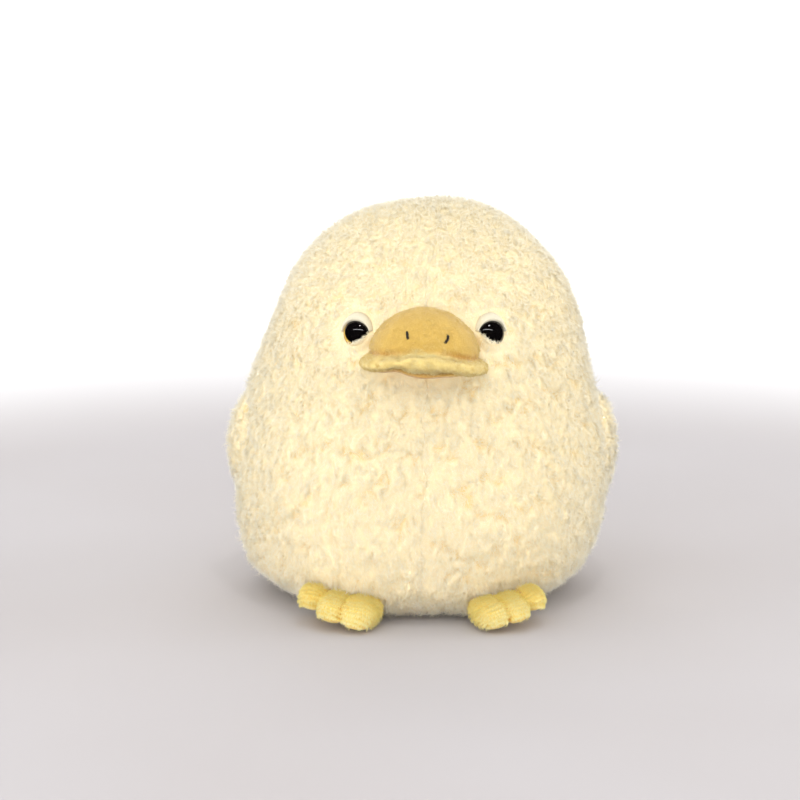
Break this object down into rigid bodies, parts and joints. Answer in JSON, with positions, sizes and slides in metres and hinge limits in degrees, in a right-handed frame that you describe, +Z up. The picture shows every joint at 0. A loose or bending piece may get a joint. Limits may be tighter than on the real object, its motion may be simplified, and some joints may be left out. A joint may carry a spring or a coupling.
{
  "type": "plush chick",
  "caption": "Round stuffed chick toy in cream sherpa fleece with a yellow velour bill, glossy bead eyes, small side wings and splayed three-toed feet.",
  "frame": {"origin": "on the floor under the middle of the flat base", "axes": "+Z up; the chick faces -Y and its own left side is +X"},
  "size_m": [0.1364, 0.1429, 0.139],
  "materials": {
    "fleece": "matte",
    "bill_velour": "matte",
    "foot_velour": "matte",
    "lid_cloth": "matte",
    "bead_plastic": "gloss",
    "washer_plastic": "satin",
    "dark_thread": "matte",
    "yellow_thread": "matte",
    "fibre_fill": "matte",
    "pouch_cotton": "matte",
    "pellets": "satin"
  },
  "bodies": {
    "torso": {"left_front_gore": "fleece", "left_back_gore": "fleece", "left_eye": "bead_plastic", "left_eye_washer": "washer_plastic", "left_eyelid": "lid_cloth", "left_nostril_stitch": "dark_thread", "right_front_gore": "fleece", "right_back_gore": "fleece", "right_eye": "bead_plastic", "right_eye_washer": "washer_plastic", "right_eyelid": "lid_cloth", "right_nostril_stitch": "dark_thread", "base_panel": "fleece", "stuffing": "fibre_fill", "pellet_pouch": "pouch_cotton", "pellet_fill": "pellets", "upper_bill": "bill_velour", "bill_stuffing": "fibre_fill", "tail": "fleece"},
    "wing_left": {"left_wing": "fleece", "left_wing_lining": "fleece"},
    "wing_right": {"right_wing": "fleece", "right_wing_lining": "fleece"},
    "foot_left": {"left_foot_upper": "foot_velour", "left_foot_sole": "foot_velour", "left_foot_stuffing": "fibre_fill", "left_inner_toe_stitch": "yellow_thread", "left_outer_toe_stitch": "yellow_thread"},
    "foot_right": {"right_foot_upper": "foot_velour", "right_foot_sole": "foot_velour", "right_foot_stuffing": "fibre_fill", "right_inner_toe_stitch": "yellow_thread", "right_outer_toe_stitch": "yellow_thread"},
    "bill_lower": {"lower_bill": "bill_velour"}
  },
  "joints": [
    {"name": "left_wing_lift", "type": "hinge", "parent": "torso", "child": "wing_left", "pos_m": [0.06, -0.00385, 0.0689], "axis": [0, -0.9135, -0.4067], "range_deg": [0, 70]},
    {"name": "right_wing_lift", "type": "hinge", "parent": "torso", "child": "wing_right", "pos_m": [-0.06, -0.00385, 0.0689], "axis": [0, 0.9135, 0.4067], "range_deg": [0, 70]},
    {"name": "left_foot_droop", "type": "hinge", "parent": "torso", "child": "foot_left", "pos_m": [0.02557, -0.04028, 0.00271], "axis": [0.9224, 0.3357, 0.1908], "range_deg": [0, 35]},
    {"name": "right_foot_droop", "type": "hinge", "parent": "torso", "child": "foot_right", "pos_m": [-0.02557, -0.04028, 0.00271], "axis": [0.9224, -0.3357, -0.1908], "range_deg": [0, 35]},
    {"name": "lower_bill_open", "type": "hinge", "parent": "torso", "child": "bill_lower", "pos_m": [0, -0.04969, 0.0869], "axis": [1, 0, 0], "range_deg": [0, 25], "stiffness_Nm_per_rad": 0.006, "springref_deg": -5.73}
  ]
}
